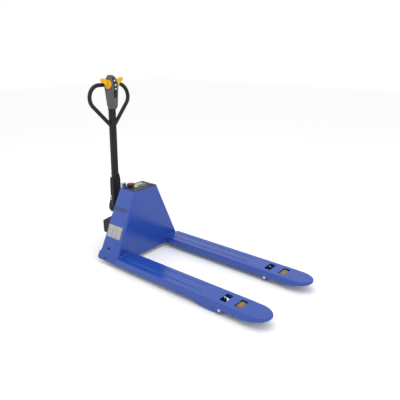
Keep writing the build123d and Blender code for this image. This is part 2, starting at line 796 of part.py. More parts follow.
with BuildPart() as lift_cylinder:
    bar_z(ram_x, 0, cylinder_radius, cylinder_foot, cylinder_top)
    bar_z(ram_x, 0, cylinder_radius - 4, 275, cylinder_top, Mode.SUBTRACT)
    bar_z(ram_x, 0, cylinder_radius + 3, cylinder_top, cylinder_top + 10)
    bar_z(ram_x, 0, ram_radius + running_gap, cylinder_top - 1, cylinder_top + 11, Mode.SUBTRACT)
save(lift_cylinder, "lift_cylinder")

with BuildPart() as pump_motor:
    bar_y(ram_x, 291, 26, -196, -98)
    fillet(pump_motor.edges().group_by(Axis.Y)[0], radius=5)
    block(-172, -128, -98, -24, cylinder_foot, 320)
save(pump_motor, "pump_motor")

with BuildPart() as oil_tank:
    block(-176, -128, 24, 108, cylinder_foot, 330)
    fillet(oil_tank.edges().filter_by(Axis.Z), radius=8)
    bar_z(-152, 88, 9, 330, 338)
save(oil_tank, "oil_tank")

# ---------------------------------------------------------------------------
# Steering: wheel fork, hub motor, tiller bracket. Turns about steer_x.
# ---------------------------------------------------------------------------
leg_in, leg_out = 42, 52
crown_low, crown_high = 206, 218
bracket_low, bracket_high = 292, 345
drive_axle_radius = 12
rotor_radius = 78
tongue_half = 12
tiller_pin_radius = 9

with BuildPart() as wheel_fork:
    block(steer_x - 35, steer_x + 35, -leg_out, leg_out, crown_low, crown_high)
    for leg_low in (-leg_out, leg_in):
        with BuildSketch(side(leg_low + leg_out - leg_in)):
            with Locations((steer_x, wheel_radius)):
                Circle(26)
            with Locations((steer_x, crown_low + 2)):
                Rectangle(70, 4)
            make_hull()
        extrude(amount=leg_out - leg_in)
    bar_z(steer_x, 0, stem_radius, crown_high, bracket_high)
    bar_z(steer_x, 0, stem_radius + 8, crown_high, frame_low - 8)
    bar_y(steer_x, wheel_radius, drive_axle_radius, -200, 200, Mode.SUBTRACT)
save(wheel_fork, "wheel_fork")

with BuildPart() as drive_axle:
    bar_y(steer_x, wheel_radius, drive_axle_radius, -leg_out - 12, leg_out + 12)
    for nut_y in (-leg_out, leg_out + 9):
        with BuildSketch(side(nut_y)):
            with Locations((steer_x, wheel_radius)):
                RegularPolygon(17, 6)
        extrude(amount=9)
save(drive_axle, "drive_axle")

with BuildPart() as motor_stator:
    bar_y(steer_x, wheel_radius, 55, -22, 6)
    bar_y(steer_x, wheel_radius, drive_axle_radius, -30, 30, Mode.SUBTRACT)
save(motor_stator, "motor_stator")

with BuildPart() as drive_hub:
    bar_y(steer_x, wheel_radius, rotor_radius, -33, 33)
    chamfer(drive_hub.edges().filter_by(GeomType.CIRCLE), length=2)
    for recess_y in (-34, 31):
        bar_y(steer_x, wheel_radius, 62, recess_y, recess_y + 3, Mode.SUBTRACT)
    bar_y(steer_x, wheel_radius, 58, -26, 26, Mode.SUBTRACT)
    bar_y(steer_x, wheel_radius, drive_axle_radius + running_gap, -40, 40, Mode.SUBTRACT)
    for recess_y in (-32, 31):
        with BuildSketch(side(recess_y + 4)):
            with Locations((steer_x, wheel_radius)):
                with PolarLocations(50, 6):
                    Circle(3)
        extrude(amount=4, mode=Mode.SUBTRACT)
save(drive_hub, "drive_hub")

with BuildPart() as drive_tyre:
    bar_y(steer_x, wheel_radius, wheel_radius, -wheel_width / 2, wheel_width / 2)
    fillet(drive_tyre.edges().filter_by(GeomType.CIRCLE), radius=6)
    bar_y(steer_x, wheel_radius, rotor_radius, -60, 60, Mode.SUBTRACT)
save(drive_tyre, "drive_tyre")

with BuildPart() as tiller_bracket:
    block(steer_x - 38, steer_x + 38, -36, 36, bracket_low, bracket_high)
    fillet(tiller_bracket.edges().filter_by(Axis.Z), radius=12)
    with BuildSketch(side(tongue_half)):
        with Locations((tiller_pivot_x, tiller_pivot_z)):
            Circle(24)
        with Locations((steer_x - 30, (bracket_low + bracket_high) / 2)):
            Rectangle(10, bracket_high - bracket_low - 6)
        make_hull()
    extrude(amount=2 * tongue_half)
    bar_z(steer_x, 0, stem_radius, 200, bracket_high, Mode.SUBTRACT)
    with BuildSketch(level(bracket_high, steer_x)):
        RegularPolygon(30, 6)
    extrude(amount=12)
    bore = tiller_pin_radius + running_gap
    bar_y(tiller_pivot_x, tiller_pivot_z, bore, -60, 60, Mode.SUBTRACT)
save(tiller_bracket, "tiller_bracket")

# ---------------------------------------------------------------------------
# Tiller: drawn in its own leaning frame. u runs forward across the tube,
# s up along it from the pivot's height.
# ---------------------------------------------------------------------------
lean = radians(tiller_lean)
tiller_foot = Vector(heel + tiller_foot_x, 0, tiller_pivot_z)
forward = Vector(cos(lean), 0, -sin(lean))
upward = Vector(sin(lean), 0, cos(lean))
pivot_u = (tiller_pivot_x - tiller_foot_x) * cos(lean)
pivot_s = (tiller_pivot_x - tiller_foot_x) * sin(lean)


def tiller_side(v=0.0):
    """Plane across Y in the tiller's frame: sketches read as u, then s."""
    return Plane(origin=tiller_foot + Vector(0, v, 0), x_dir=forward, z_dir=(0, -1, 0))


def tiller_level(s=0.0):
    """Plane square to the tube: sketches read as u, then Y."""
    return Plane(origin=tiller_foot + upward * s, x_dir=forward, z_dir=upward)


def tiller_face(u=0.0):
    """Plane facing forward in the tiller's frame: sketches read as Y, then s."""
    return Plane(origin=tiller_foot + forward * u, x_dir=(0, 1, 0), z_dir=forward)


tube_low = 90
socket_half = 37.5
socket_deep = 20
cheek_in = 23
head_low_s = 802
tube_high = head_low_s + 40

with BuildPart() as tiller_tube:
    with BuildSketch(tiller_level(tube_low)):
        RectangleRounded(tube_deep, tube_wide, 6)
        RectangleRounded(tube_deep - 6, tube_wide - 6, 3, mode=Mode.SUBTRACT)
    extrude(amount=tube_high - tube_low)
save(tiller_tube, "tiller_tube")

with BuildPart() as tiller_socket:
    with BuildSketch(tiller_side()):
        with BuildLine():
            Polyline(
                (pivot_u - 33, pivot_s + 8),
                (-31, 63),
                (-socket_deep - 1, 110),
                (-socket_deep, 256),
                (socket_deep - 1, 284),
                (socket_deep, 110),
                (17, 40),
                (pivot_u + 28, pivot_s - 16),
                (pivot_u, pivot_s - 20),
                close=True,
            )
        make_face()
        with Locations((pivot_u, pivot_s)):
            Circle(33)
    extrude(amount=socket_half, both=True)
    with BuildSketch(tiller_face(-60)):
        Polygon(
            (-socket_half, -60),
            (socket_half, -60),
            (socket_half, 240),
            (tube_wide / 2 + 1, 290),
            (-tube_wide / 2 - 1, 290),
            (-socket_half, 240),
            align=None,
        )
    extrude(amount=120, mode=Mode.INTERSECT)
    with BuildSketch(tiller_level(tube_low)):
        RectangleRounded(tube_deep, tube_wide, 6)
    extrude(amount=300, mode=Mode.SUBTRACT)
    with BuildSketch(tiller_level(-60)):
        Rectangle(200, 2 * cheek_in)
    extrude(amount=122, mode=Mode.SUBTRACT)
    bar_y(tiller_pivot_x, tiller_pivot_z, tiller_pin_radius, -60, 60, Mode.SUBTRACT)
save(tiller_socket, "tiller_socket")

with BuildPart() as tiller_pin:
    bar_y(tiller_pivot_x, tiller_pivot_z, tiller_pin_radius, -socket_half, socket_half)
    for clip_y in (-socket_half - 4, socket_half):
        bar_y(tiller_pivot_x, tiller_pivot_z, 13, clip_y, clip_y + 4)
    chamfer(tiller_pin.edges().filter_by(GeomType.CIRCLE).group_by(Axis.Y)[0], length=1.5)
save(tiller_pin, "tiller_pin")

loop_start_s = 670
loop_tilt = radians(tiller_lean - 6.3)
loop_plane = Plane(
    origin=tiller_foot + upward * loop_start_s,
    x_dir=(0, 1, 0),
    z_dir=Vector(cos(loop_tilt), 0, -sin(loop_tilt)),
)
loop_reach = 184           # centre line's greatest distance from the tube's axis
loop_wide_t = 213          # how far up that is
loop_elbow = 80
loop_shoulder = 95
loop_arm = radians(43)
elbow_y = loop_reach - loop_elbow * (1 - cos(loop_arm))
elbow_t = loop_wide_t - loop_elbow * sin(loop_arm)

head_u, head_s = 3.5, 955  # middle of the dome's springing line
dome_deep, dome_high = 47.5, 85


def head_form(grow=0.0):
    """Side outline of the control head: tapered below, half ellipse above."""
    corner_grow = 0.6 * grow
    with BuildSketch(tiller_side()) as outline:
        with BuildLine():
            Polyline(
                (head_u - dome_deep - grow, head_s),
                (-23 - grow, head_low_s + 24 - corner_grow),
                (-11 - corner_grow, head_low_s - grow),
                (29 + corner_grow, head_low_s - grow),
                (39 + grow, head_low_s + 22 - corner_grow),
                (head_u + dome_deep + grow, head_s),
            )
            EllipticalCenterArc((head_u, head_s), dome_deep + grow, dome_high + grow, arc_size=180)
        make_face()
    return outline.sketch


with BuildPart() as head_blank:
    extrude(head_form(), amount=head_wide / 2, both=True)
    fillet(head_blank.edges().filter_by(Axis.Y, reverse=True), radius=8)

with BuildPart() as loop_handle:
    for turn in (1, -1):
        with BuildLine(loop_plane) as loop_path:
            arm = Line((turn * 12, elbow_t - (elbow_y - 12) / tan(loop_arm)), (turn * elbow_y, elbow_t))
            elbow = TangentArc(arm @ 1, (turn * loop_reach, loop_wide_t), tangent=arm % 1)
            crest = TangentArc(
                elbow @ 1,
                (turn * (loop_reach - loop_shoulder), loop_wide_t + loop_shoulder),
                tangent=elbow % 1,
            )
            Line(crest @ 1, (turn * 20, loop_wide_t + loop_shoulder))
        with BuildSketch(Plane(origin=arm @ 0, z_dir=arm % 0)):
            Circle(loop_radius)
        sweep(path=loop_path.wires()[0])
    with BuildSketch(tiller_level(tube_low)):
        RectangleRounded(tube_deep, tube_wide, 6)
    extrude(amount=tube_high - tube_low, mode=Mode.SUBTRACT)
    add(head_blank.part, mode=Mode.SUBTRACT)
save(loop_handle, "loop_handle")

head_wall = 3
head_split = 4             # seam between the two covers
strip_proud = 2.5
strip_half = 13
strip_low, strip_high = 888, 1030
paddle_u, paddle_s = 13, 984
paddle_shaft_radius = 5
paddle_swing_gap = 1

top_button_u = (-22, 14)
top_button_half = 17
top_button_s = (1018, 1046)


def face_plane(s):
    """Plane on the head's front face at a height, looking out along its normal."""
    rise = max(s - head_s, 0)
    angle = asin(rise / dome_high)
    if rise:
        u = head_u + dome_deep * cos(angle)
        tilt = atan2(sin(angle) / dome_high, cos(angle) / dome_deep)
    else:
        u = head_u + dome_deep + (s - head_s) * face_taper
        tilt = -face_taper
    out = forward * cos(tilt) + upward * sin(tilt)
    return Plane(origin=tiller_foot + forward * u + upward * s, x_dir=(0, 1, 0), z_dir=out)


face_taper = (head_u + dome_deep - 39) / (head_s - head_low_s - 22)
round_buttons = (("raise_button", 1009), ("lower_button", 978), ("horn_button", 952))
round_radius = 6
speed_s = 912
speed_wide, speed_high = 18, 28
button_root = -9
button_proud = strip_proud + 3


def cut_buttons():
    """Clearance holes for the front buttons, cut from the part being built."""
    for _, s in round_buttons:
        with Locations(face_plane(s)):
            Cylinder(round_radius + button_gap, 40, mode=Mode.SUBTRACT)
    with Locations(face_plane(speed_s)):
        Box(speed_wide + 2 * button_gap, speed_high + 2 * button_gap, 40, mode=Mode.SUBTRACT)


with BuildPart() as head_hollow:
    extrude(head_form(-head_wall), amount=head_wide / 2 - head_wall, both=True)
    fillet(head_hollow.edges().filter_by(Axis.Y, reverse=True), radius=5)

for cover, u_low, u_high in (("front", head_split, 80), ("rear", -80, head_split)):
    with BuildPart() as head_cover:
        add(head_blank.part)
        add(head_hollow.part, mode=Mode.SUBTRACT)
        with BuildSketch(tiller_level(head_low_s - 20)):
            with Locations(((u_low + u_high) / 2, 0)):
                Rectangle(u_high - u_low, 2 * head_wide)
        extrude(amount=300, mode=Mode.INTERSECT)
        with BuildSketch(tiller_level(tube_low)):
            RectangleRounded(tube_deep, tube_wide, 6)
        extrude(amount=tube_high - tube_low, mode=Mode.SUBTRACT)
        with BuildSketch(tiller_level(top_button_s[0] - 10)):
            with Locations((sum(top_button_u) / 2, 0)):
                Rectangle(
                    top_button_u[1] - top_button_u[0] + 2 * button_gap,
                    2 * (top_button_half + button_gap),
                )
        extrude(amount=60, mode=Mode.SUBTRACT)
        with BuildSketch(tiller_side(60)):
            with Locations((paddle_u, paddle_s)):
                Circle(paddle_shaft_radius + button_gap)
        extrude(amount=120, mode=Mode.SUBTRACT)
        if cover == "front":
            cut_buttons()
    save(head_cover, f"head_{cover}_cover")

with BuildPart() as control_strip:
    extrude(head_form(strip_proud), amount=strip_half, both=True)
    fillet(control_strip.edges().filter_by(Axis.Y, reverse=True), radius=2)
    extrude(head_form(), amount=head_wide, both=True, mode=Mode.SUBTRACT)
    with BuildSketch(tiller_level(strip_low)):
        with Locations((60, 0)):
            Rectangle(90, 2 * head_wide)
    extrude(amount=strip_high - strip_low, mode=Mode.INTERSECT)
    cut_buttons()
save(control_strip, "control_strip")

for name, s in round_buttons:
    with BuildPart() as round_button:
        with Locations(face_plane(s).offset(button_root)):
            Cylinder(round_radius, button_proud - button_root, align=LOW)
        fillet(round_button.edges().filter_by(GeomType.CIRCLE).sort_by(Axis.X)[-1], radius=1.5)
    save(round_button, name)

with BuildPart() as speed_button:
    with Locations(face_plane(speed_s).offset(button_root)):
        Box(speed_wide, speed_high, button_proud - button_root, align=LOW)
    fillet(speed_button.faces().sort_by(Axis.X)[-1].edges(), radius=2)
save(speed_button, "speed_button")

with BuildPart() as belly_button:
    with BuildSketch(tiller_level(top_button_s[0])):
        with Locations((sum(top_button_u) / 2, 0)):
            RectangleRounded(top_button_u[1] - top_button_u[0], 2 * top_button_half, 5)
    extrude(amount=top_button_s[1] - top_button_s[0])
    fillet(belly_button.faces().sort_by(Axis.Z)[-1].edges(), radius=4)
save(belly_button, "belly_button")

paddle_disc_radius = 32
paddle_in = head_wide / 2 + paddle_swing_gap
paddle_hub_out = 44
wing_half = 102

with BuildPart() as throttle_paddles:
    with BuildSketch(tiller_side(paddle_hub_out)):
        with Locations((paddle_u, paddle_s)):
            Circle(paddle_shaft_radius)
    extrude(amount=2 * paddle_hub_out)
    for outward in (-1, 1):
        with BuildSketch(tiller_side(outward * paddle_in)):
            with Locations((paddle_u, paddle_s)):
                Circle(paddle_disc_radius)
        extrude(amount=-outward * (paddle_hub_out - paddle_in))
        with BuildSketch(tiller_face(paddle_u - 9)):
            with BuildLine():
                Polyline(
                    (outward * paddle_in, paddle_s - 14),
                    (outward * (paddle_hub_out + 10), paddle_s - 6),
                    (outward * wing_half, paddle_s + 24),
                    (outward * wing_half, paddle_s + 40),
                    (outward * (wing_half - 14), paddle_s + 46),
                    (outward * paddle_in, paddle_s + 26),
                    close=True,
                )
            make_face()
        extrude(amount=18)
save(throttle_paddles, "throttle_paddles")
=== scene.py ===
import bmesh
import bpy
import numpy as np
from math import cos, pi, radians, sin
from mathutils import Matrix, Vector


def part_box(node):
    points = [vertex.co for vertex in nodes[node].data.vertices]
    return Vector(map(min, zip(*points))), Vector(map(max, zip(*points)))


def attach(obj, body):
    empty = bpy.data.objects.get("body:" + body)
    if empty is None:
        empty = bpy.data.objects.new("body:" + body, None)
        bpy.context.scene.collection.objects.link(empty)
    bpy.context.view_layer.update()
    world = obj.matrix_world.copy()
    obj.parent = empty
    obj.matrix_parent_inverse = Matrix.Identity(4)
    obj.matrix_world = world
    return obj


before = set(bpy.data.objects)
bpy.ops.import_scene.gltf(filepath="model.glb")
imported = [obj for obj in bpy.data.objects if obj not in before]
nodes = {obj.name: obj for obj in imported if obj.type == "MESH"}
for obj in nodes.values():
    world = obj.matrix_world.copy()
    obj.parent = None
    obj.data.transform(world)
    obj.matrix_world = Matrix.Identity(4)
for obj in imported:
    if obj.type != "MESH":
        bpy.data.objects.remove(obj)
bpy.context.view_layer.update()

# ---------------------------------------------------------------------------
# Studio: white sweep, soft overhead light, and the camera at standing height
# off the right-hand fork.
# ---------------------------------------------------------------------------
scene = bpy.context.scene
scene.view_settings.view_transform = "Standard"


def srgb(code):
    """Linear colour of an sRGB hex code: straight below 0.04045, a 2.4 power above."""
    parts = [int(code[i:i + 2], 16) / 255 for i in (1, 3, 5)]
    return tuple(c / 12.92 if c <= 0.04045 else ((c + 0.055) / 1.055) ** 2.4 for c in parts) + (1.0,)


def put(tree, kind, settings=None, **inputs):
    """Adds one shader node; an input is a value, or another node's output socket."""
    node = tree.nodes.new(kind)
    for key, value in (settings or {}).items():
        setattr(node, key, value)
    for key, value in inputs.items():
        socket = node.inputs[int(key[1:]) if key[0] == "_" and key[1:].isdigit() else key.replace("_", " ")]
        if isinstance(value, bpy.types.NodeSocket):
            tree.links.new(value, socket)
        else:
            socket.default_value = value
    return node


def finish_of(name):
    """A new material with only its Principled shader: (material, tree, shader)."""
    material = bpy.data.materials.new(name)
    material.use_nodes = True
    tree = material.node_tree
    return material, tree, tree.nodes["Principled BSDF"]


def grid_mesh(name, xyz, wrap_u=False, wrap_v=False):
    """Mesh object from an (rows, columns, 3) grid; wrap closes rows or columns on themselves."""
    rows, cols = xyz.shape[:2]
    r = np.arange(rows if wrap_u else rows - 1)
    c = np.arange(cols if wrap_v else cols - 1)
    rr, cc = np.meshgrid(r, c, indexing="ij")
    r2, c2 = (rr + 1) % rows, (cc + 1) % cols
    quads = np.stack([rr * cols + cc, r2 * cols + cc, r2 * cols + c2, rr * cols + c2], axis=-1).reshape(-1, 4)
    mesh = bpy.data.meshes.new(name)
    mesh.from_pydata(xyz.reshape(-1, 3).tolist(), [], quads.tolist())
    mesh.shade_smooth()
    thing = bpy.data.objects.new(name, mesh)
    scene.collection.objects.link(thing)
    return thing


def closed(thing, material, body, crease=radians(38)):
    """Merges a grid's poles and seams, turns its faces outwards, and gives it finish and body."""
    shape = bmesh.new()
    shape.from_mesh(thing.data)
    bmesh.ops.remove_doubles(shape, verts=shape.verts, dist=2e-6)
    bmesh.ops.recalc_face_normals(shape, faces=shape.faces)
    shape.to_mesh(thing.data)
    shape.free()
    thing.data.shade_smooth()
    thing.data.set_sharp_from_angle(angle=crease)
    thing.data.materials.append(material)
    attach(thing, body)
    return thing


floor_half = 14.0
floor_lines = np.linspace(-floor_half, floor_half, 9)
floor_x, floor_y = np.meshgrid(floor_lines, floor_lines, indexing="ij")
floor = grid_mesh("studio_floor", np.stack([floor_x, floor_y, 0 * floor_x], axis=-1))
floor_white, tree, shader = finish_of("studio_floor_white")
shader.inputs["Base Color"].default_value = srgb("#FBFBFB")
shader.inputs["Roughness"].default_value = 0.85
floor.data.materials.append(floor_white)

world = bpy.data.worlds.new("studio_world")
world.use_nodes = True
world.node_tree.nodes["Background"].inputs["Color"].default_value = (1.0, 1.0, 1.0, 1.0)
world.node_tree.nodes["Background"].inputs["Strength"].default_value = 1.0
scene.world = world

camera_azimuth, camera_elevation, camera_roll = radians(39.29), radians(19.24), radians(-0.36)
camera_place = (1.9354, -2.2382, 1.5743)
level_share = cos(camera_elevation)
view_back = Vector((sin(camera_azimuth) * level_share,
                    -cos(camera_azimuth) * level_share,
                    sin(camera_elevation)))
view_right = Vector((cos(camera_azimuth), sin(camera_azimuth), 0.0))
view_up = view_back.cross(view_right)
rolled_right = view_right * cos(camera_roll) + view_up * sin(camera_roll)
rolled_up = view_up * cos(camera_roll) - view_right * sin(camera_roll)
eye = bpy.data.cameras.new("camera")
eye.lens = 40.25
eye.sensor_width = 36.0
camera = bpy.data.objects.new("camera", eye)
camera_turn = Matrix((rolled_right, rolled_up, view_back)).transposed()
camera.matrix_world = Matrix.Translation(camera_place) @ camera_turn.to_4x4()
scene.collection.objects.link(camera)
scene.camera = camera

# name, place, aim, width of the square in metres, watts
lamps = (
    ("overhead_softbox", (0.3, -0.4, 3.2), (0.0, 0.0, 0.2), 3.0, 32),
    ("front_softbox", (3.4, -1.2, 1.9), (0.0, 0.0, 0.3), 2.0, 10),
    ("rim_softbox", (-3.2, -1.5, 1.7), (-0.7, 0.0, 0.6), 2.4, 8),
)
for lamp_name, place, target, size, watts in lamps:
    lamp = bpy.data.lights.new(lamp_name, "AREA")
    lamp.size = size
    lamp.energy = watts
    holder = bpy.data.objects.new(lamp_name, lamp)
    aim = (Vector(place) - Vector(target)).to_track_quat("Z", "Y")
    holder.matrix_world = Matrix.Translation(place) @ aim.to_matrix().to_4x4()
    scene.collection.objects.link(holder)


def coat(material, *names):
    """Puts a finish on carried-over nodes."""
    for name in names:
        thing = nodes[name]
        if thing.material_slots:
            thing.material_slots[0].material = material
        else:
            thing.data.materials.append(material)


# ---------------------------------------------------------------------------
# Hood and forks: pressed and welded steel plate, powder-coated in one glossy
# blue with a fine orange peel. Each side of the hood has a printed band of
# slanted bars, and dust dulls the coat near the floor.
# ---------------------------------------------------------------------------
hood_low, hood_high = (Vector(corner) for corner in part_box("hood_shell"))
heel = hood_high.x + 0.006
hood_top_half = 0.1135
hood_slope = (hood_high.y - hood_top_half) / (hood_high.z - hood_low.z)
bars_rear, bars_front = heel - 0.170, heel - 0.040
bars_low, bars_high = 0.390, 0.418
bar_pitch = 0.0185
bar_lean = -0.45             # metres forward for each metre up
bar_gap = 0.21               # share of the pitch left blue on each side of a bar
dust_top, dust_full = 0.075, 0.010

blue_coat, tree, shader = finish_of("powder_coated_steel_blue")
where = put(tree, "ShaderNodeTexCoord").outputs["Object"]
peel = put(tree, "ShaderNodeTexNoise", Vector=where, Scale=330.0, Detail=1.0)        # 3 mm orange peel
cloud = put(tree, "ShaderNodeTexNoise", Vector=where, Scale=2.2, Detail=1.0)  # half-metre drift in thickness
haze = put(tree, "ShaderNodeTexNoise", Vector=where, Scale=14.0, Detail=5.0, Roughness=0.6)
axes = put(tree, "ShaderNodeSeparateXYZ", Vector=where)
drift = put(tree, "ShaderNodeMix", {"data_type": "RGBA"}, Factor=cloud.outputs["Fac"])
drift.inputs["A"].default_value = srgb("#1D4198")
drift.inputs["B"].default_value = srgb("#20469F")
dust = put(tree, "ShaderNodeMapRange", Value=axes.outputs["Z"], From_Min=dust_top, From_Max=dust_full,
           To_Min=0.0, To_Max=0.22)
dusty = put(tree, "ShaderNodeMix", {"data_type": "RGBA"}, Factor=dust.outputs["Result"])
tree.links.new(drift.outputs["Result"], dusty.inputs["A"])
dusty.inputs["B"].default_value = srgb("#3A4C7C")
slant = put(tree, "ShaderNodeMath", {"operation": "MULTIPLY_ADD"},
            _0=axes.outputs["Z"], _1=bar_lean, _2=axes.outputs["X"])
phase = put(tree, "ShaderNodeMath", {"operation": "PINGPONG"}, _0=slant.outputs["Value"], _1=bar_pitch / 2)
bar = put(tree, "ShaderNodeMath", {"operation": "GREATER_THAN"},
          _0=phase.outputs["Value"], _1=bar_pitch * bar_gap)
band = bar.outputs["Value"]
for axis, low, high in (("X", bars_rear, bars_front), ("Z", bars_low, bars_high)):
    above = put(tree, "ShaderNodeMath", {"operation": "GREATER_THAN"}, _0=axes.outputs[axis], _1=low)
    below = put(tree, "ShaderNodeMath", {"operation": "LESS_THAN"}, _0=axes.outputs[axis], _1=high)
    inside = put(tree, "ShaderNodeMath", {"operation": "MULTIPLY"},
                 _0=above.outputs["Value"], _1=below.outputs["Value"])
    both = put(tree, "ShaderNodeMath", {"operation": "MULTIPLY"}, _0=band, _1=inside.outputs["Value"])
    band = both.outputs["Value"]
printed = put(tree, "ShaderNodeMix", {"data_type": "RGBA"}, Factor=band)
tree.links.new(dusty.outputs["Result"], printed.inputs["A"])
printed.inputs["B"].default_value = srgb("#0B1230")
rough = put(tree, "ShaderNodeMapRange", Value=haze.outputs["Fac"], From_Min=0.3, From_Max=0.7,
            To_Min=0.15, To_Max=0.23)
skin = put(tree, "ShaderNodeBump", Height=peel.outputs["Fac"], Strength=0.05, Distance=0.0003)
tree.links.new(printed.outputs["Result"], shader.inputs["Base Color"])
tree.links.new(rough.outputs["Result"], shader.inputs["Roughness"])
tree.links.new(skin.outputs["Normal"], shader.inputs["Normal"])
coat(blue_coat, "hood_shell", "hood_rear_cover", "fork_left", "fork_right", "fork_tip_left", "fork_tip_right")


# ---------------------------------------------------------------------------
# Chassis irons: the power unit's frame, wheel fork, bracket, tiller socket and
# linkage are flame-cut plate and tube, brushed with black chassis paint.
# ---------------------------------------------------------------------------
def chassis_black(name, low, high, rough_low, rough_high):
    """Black enamel: fine brush grain, dusty patches 40 mm across, satin shine."""
    material, tree, shader = finish_of(name)
    where = put(tree, "ShaderNodeTexCoord").outputs["Object"]
    dust = put(tree, "ShaderNodeTexNoise", Vector=where, Scale=25.0, Detail=5.0)
    grain = put(tree, "ShaderNodeTexNoise", Vector=where, Scale=600.0, Detail=2.0)
    tone = put(tree, "ShaderNodeMix", {"data_type": "RGBA"}, Factor=dust.outputs["Fac"])
    tone.inputs["A"].default_value = srgb(low)
    tone.inputs["B"].default_value = srgb(high)
    sheen = put(tree, "ShaderNodeMapRange", Value=dust.outputs["Fac"], From_Min=0.3, From_Max=0.7,
                To_Min=rough_low, To_Max=rough_high)
    skin = put(tree, "ShaderNodeBump", Height=grain.outputs["Fac"], Strength=0.15, Distance=0.0003)
    tree.links.new(tone.outputs["Result"], shader.inputs["Base Color"])
    tree.links.new(sheen.outputs["Result"], shader.inputs["Roughness"])
    tree.links.new(skin.outputs["Normal"], shader.inputs["Normal"])
    shader.inputs["Specular IOR Level"].default_value = 0.22
    return material


frame_black = chassis_black("enamelled_steel_black", "#0A0A0B", "#121213", 0.35, 0.5)
coat(frame_black, "rocker_shaft", "link_rod_pins", "roller_axles", "power_frame", "wheel_fork",
     "tiller_bracket", "rocker_beam", "push_rods", "load_links", "lift_head", "battery_tray")
socket_black = chassis_black("cast_socket_black", "#101011", "#19191A", 0.34, 0.5)
coat(socket_black, "tiller_socket", "tiller_pin")
tube_black = chassis_black("powder_coated_tube_black", "#141416", "#1B1B1D", 0.26, 0.38)
coat(tube_black, "tiller_tube")
guard_black = chassis_black("moulded_guard_black", "#17150F", "#24211B", 0.42, 0.6)
coat(guard_black, "drive_guard")

# ---------------------------------------------------------------------------
# Pins, shafts and screws: turned from bright steel bar and zinc plated, with
# tool marks a millimetre apart, coarser than the real ones so that they show.
# ---------------------------------------------------------------------------
turned_steel, tree, shader = finish_of("zinc_plated_steel")
where = put(tree, "ShaderNodeTexCoord").outputs["Object"]
rings = put(tree, "ShaderNodeTexNoise", Vector=where, Scale=900.0, Detail=1.0)
smear = put(tree, "ShaderNodeTexNoise", Vector=where, Scale=60.0, Detail=4.0)
tint = put(tree, "ShaderNodeMix", {"data_type": "RGBA"}, Factor=smear.outputs["Fac"])
tint.inputs["A"].default_value = srgb("#B9BBBD")
tint.inputs["B"].default_value = srgb("#D6D6D2")
polish = put(tree, "ShaderNodeMapRange", Value=smear.outputs["Fac"], To_Min=0.2, To_Max=0.42)
skin = put(tree, "ShaderNodeBump", Height=rings.outputs["Fac"], Strength=0.1, Distance=0.0002)
tree.links.new(tint.outputs["Result"], shader.inputs["Base Color"])
tree.links.new(polish.outputs["Result"], shader.inputs["Roughness"])
tree.links.new(skin.outputs["Normal"], shader.inputs["Normal"])
shader.inputs["Metallic"].default_value = 1.0
coat(turned_steel, "rocker_rod_pins", "roller_bearings",
     "steering_bearing", "guard_screws", "console_screws", "drive_axle",
     "lift_cylinder", "lift_ram", "key_plug")

# The link shafts are the same bar: bright at the ends outside the forks, and
# near black between the fork's side plates, a painted shade of the closed fork channel.
fork_middle, bright_from = 0.2625, 0.0765
shaded_shaft_steel, tree, shader = finish_of("zinc_plated_steel_painted_shade")
where = put(tree, "ShaderNodeTexCoord").outputs["Object"]
axes = put(tree, "ShaderNodeSeparateXYZ", Vector=where)
smear = put(tree, "ShaderNodeTexNoise", Vector=where, Scale=140.0, Detail=4.0)
from_axis = put(tree, "ShaderNodeMath", {"operation": "ABSOLUTE"}, _0=axes.outputs["Y"])
from_middle = put(tree, "ShaderNodeMath", {"operation": "SUBTRACT"},
                  _0=from_axis.outputs["Value"], _1=fork_middle)
distance = put(tree, "ShaderNodeMath", {"operation": "ABSOLUTE"}, _0=from_middle.outputs["Value"])
bright = put(tree, "ShaderNodeMath", {"operation": "GREATER_THAN"},
             _0=distance.outputs["Value"], _1=bright_from)
# painted shade: near-black tones on the stretch of shaft inside the fork channel
channel_shade = put(tree, "ShaderNodeMix", {"data_type": "RGBA"}, Factor=smear.outputs["Fac"])
channel_shade.inputs["A"].default_value = srgb("#0C0B09")
channel_shade.inputs["B"].default_value = srgb("#1C1A15")
ends = put(tree, "ShaderNodeMix", {"data_type": "RGBA"}, Factor=bright.outputs["Value"])
tree.links.new(channel_shade.outputs["Result"], ends.inputs["A"])
ends.inputs["B"].default_value = srgb("#D2D3D3")
tree.links.new(ends.outputs["Result"], shader.inputs["Base Color"])
shader.inputs["Metallic"].default_value = 1.0
shader.inputs["Roughness"].default_value = 0.38
coat(shaded_shaft_steel, "link_shafts")

cast_metal, tree, shader = finish_of("die_cast_aluminium")
where = put(tree, "ShaderNodeTexCoord").outputs["Object"]
pits = put(tree, "ShaderNodeTexVoronoi", Vector=where, Scale=700.0)
skin = put(tree, "ShaderNodeBump", Height=pits.outputs["Distance"], Strength=0.2, Distance=0.0003)
tree.links.new(skin.outputs["Normal"], shader.inputs["Normal"])
shader.inputs["Base Color"].default_value = srgb("#9A9B9C")
shader.inputs["Metallic"].default_value = 1.0
shader.inputs["Roughness"].default_value = 0.5
coat(cast_metal, "drive_hub", "motor_controller")

motor_iron, tree, shader = finish_of("laminated_motor_iron")
where = put(tree, "ShaderNodeTexCoord").outputs["Object"]
sheets = put(tree, "ShaderNodeTexWave", {"bands_direction": "Y"}, Vector=where, Scale=160.0, Distortion=0.4)
skin = put(tree, "ShaderNodeBump", Height=sheets.outputs["Fac"], Strength=0.3, Distance=0.0004)
tree.links.new(skin.outputs["Normal"], shader.inputs["Normal"])
shader.inputs["Base Color"].default_value = srgb("#3C3B3A")
shader.inputs["Metallic"].default_value = 0.6
shader.inputs["Roughness"].default_value = 0.55
coat(motor_iron, "motor_stator", "pump_motor")

